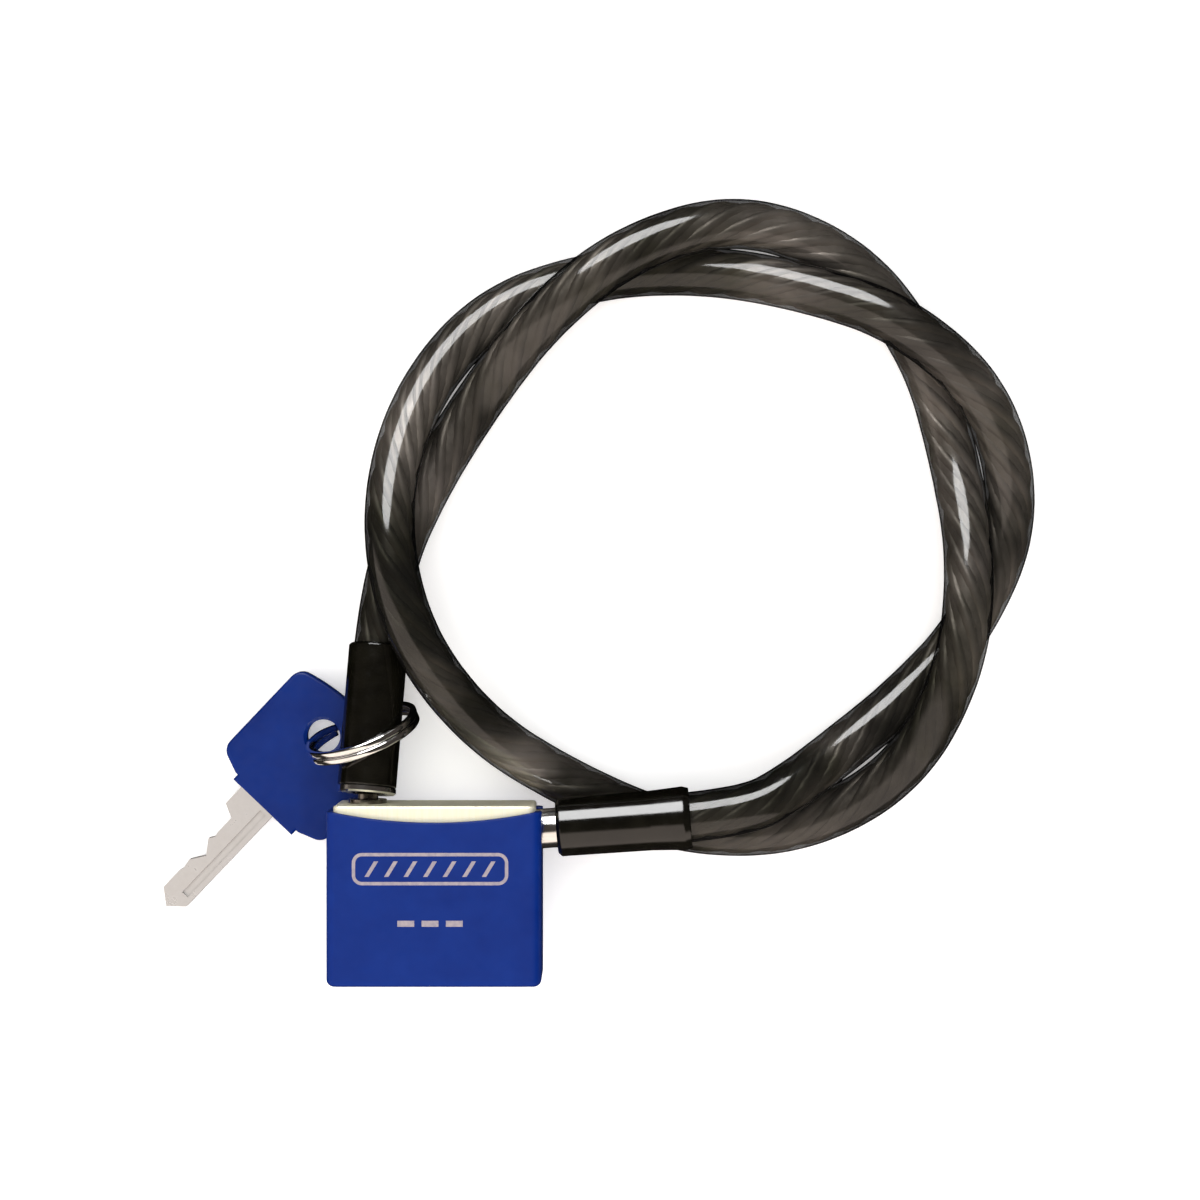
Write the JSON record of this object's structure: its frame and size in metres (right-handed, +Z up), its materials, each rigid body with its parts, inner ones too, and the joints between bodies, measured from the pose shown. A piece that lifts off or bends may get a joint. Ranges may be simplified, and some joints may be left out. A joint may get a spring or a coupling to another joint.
{
  "type": "cable padlock",
  "caption": "Cable padlock: a pin-tumbler lock body in a plastic jacket, a coated steel cable with a swivel end and a locking pin end, and a key on a split ring.",
  "frame": {"origin": "on the table, under the middle of the lock body, its cable ends and the key (the cable loop left out)", "axes": "+Z up off the table, +Y from the keyway end of the lock body to its stud end, +X along the body width towards the side where the locking pin goes in"},
  "size_m": [0.134, 0.1186, 0.0202],
  "materials": {
    "brass": "satin, rolled bar",
    "jacket_plastic": "satin moulded plastic",
    "plug_metal": "turned",
    "pin_steel": "turned",
    "plated_steel": "bright plated",
    "sleeve_plastic": "glossy moulded plastic",
    "cable_coat": "smoky clear, glossy",
    "cable_wire": "stranded",
    "ring_chrome": "bright plated",
    "nickel": "nickel plated",
    "bow_plastic": "glossy moulded plastic",
    "spring_wire": "drawn wire"
  },
  "bodies": {
    "lock_body": {"brass_body": "brass", "cover_jacket": "jacket_plastic", "chamber_caps": "brass", "plug_retaining_pin": "pin_steel", "pin_spring_1": "spring_wire", "pin_spring_2": "spring_wire", "pin_spring_3": "spring_wire", "pin_spring_4": "spring_wire", "swivel_stud": "plated_steel", "stud_cross_pin": "pin_steel", "cable_jacket": "cable_coat", "cable_core": "cable_wire"},
    "locking_end": {"locking_pin": "plated_steel", "locking_ferrule": "pin_steel", "locking_sleeve": "sleeve_plastic"},
    "swivel_end": {"swivel_collar": "plated_steel", "swivel_ferrule": "pin_steel", "swivel_sleeve": "sleeve_plastic"},
    "key_plug": {"plug": "plug_metal", "plug_cam_pin": "pin_steel", "key_pin_1": "brass", "key_pin_2": "brass", "key_pin_3": "brass", "key_pin_4": "brass"},
    "latch_plate": {"latch": "pin_steel"},
    "driver_1": {"driver_pin_1": "brass"},
    "driver_2": {"driver_pin_2": "brass"},
    "driver_3": {"driver_pin_3": "brass"},
    "driver_4": {"driver_pin_4": "brass"},
    "split_ring": {"key_ring": "ring_chrome"},
    "key": {"key_blade": "nickel", "key_bow": "bow_plastic"}
  },
  "joints": [
    {"name": "locking_end_slide", "type": "slide", "parent": "lock_body", "child": "locking_end", "axis": [0.9969, 0.075, 0.0244], "range_m": [0, 0.014], "deforming": ["cable_jacket", "cable_core"]},
    {"name": "swivel_turn", "type": "hinge", "parent": "lock_body", "child": "swivel_end", "pos_m": [-0.00865, 0.0054, 0.0122], "axis": [0.0725, 0.9876, -0.1392], "continuous": true},
    {"name": "plug_turn", "type": "hinge", "parent": "lock_body", "child": "key_plug", "pos_m": [0.0017, -0.016, 0.0122], "axis": [0, 1, 0], "range_deg": [0, 90]},
    {"name": "latch_slide", "type": "slide", "parent": "lock_body", "child": "latch_plate", "axis": [0, 0, -1], "range_m": [0, 0.00128]},
    {"name": "driver_1_slide", "type": "slide", "parent": "lock_body", "child": "driver_1", "axis": [-1, 0, 0], "range_m": [0, 0.0012], "stiffness_N_per_m": 60, "springref_m": -0.001, "deforming": ["pin_spring_1"]},
    {"name": "driver_2_slide", "type": "slide", "parent": "lock_body", "child": "driver_2", "axis": [-1, 0, 0], "range_m": [0, 0.0012], "stiffness_N_per_m": 60, "springref_m": -0.001, "deforming": ["pin_spring_2"]},
    {"name": "driver_3_slide", "type": "slide", "parent": "lock_body", "child": "driver_3", "axis": [-1, 0, 0], "range_m": [0, 0.0012], "stiffness_N_per_m": 60, "springref_m": -0.001, "deforming": ["pin_spring_3"]},
    {"name": "driver_4_slide", "type": "slide", "parent": "lock_body", "child": "driver_4", "axis": [-1, 0, 0], "range_m": [0, 0.0012], "stiffness_N_per_m": 60, "springref_m": -0.001, "deforming": ["pin_spring_4"]},
    {"name": "ring_turn", "type": "hinge", "parent": "lock_body", "child": "split_ring", "pos_m": [-0.00974, 0.01175, 0.00897], "axis": [0.3296, -0.9055, -0.2672], "continuous": true},
    {"name": "key_swing", "type": "hinge", "parent": "lock_body", "child": "key", "pos_m": [-0.01605, 0.01113, 0.0033], "axis": [-0.0422, -0.0441, 0.9981], "range_deg": [-25, 20]}
  ],
  "couplings": [
    {"joint": "latch_slide", "follows": "plug_turn", "m_per_rad": 0.00081}
  ]
}
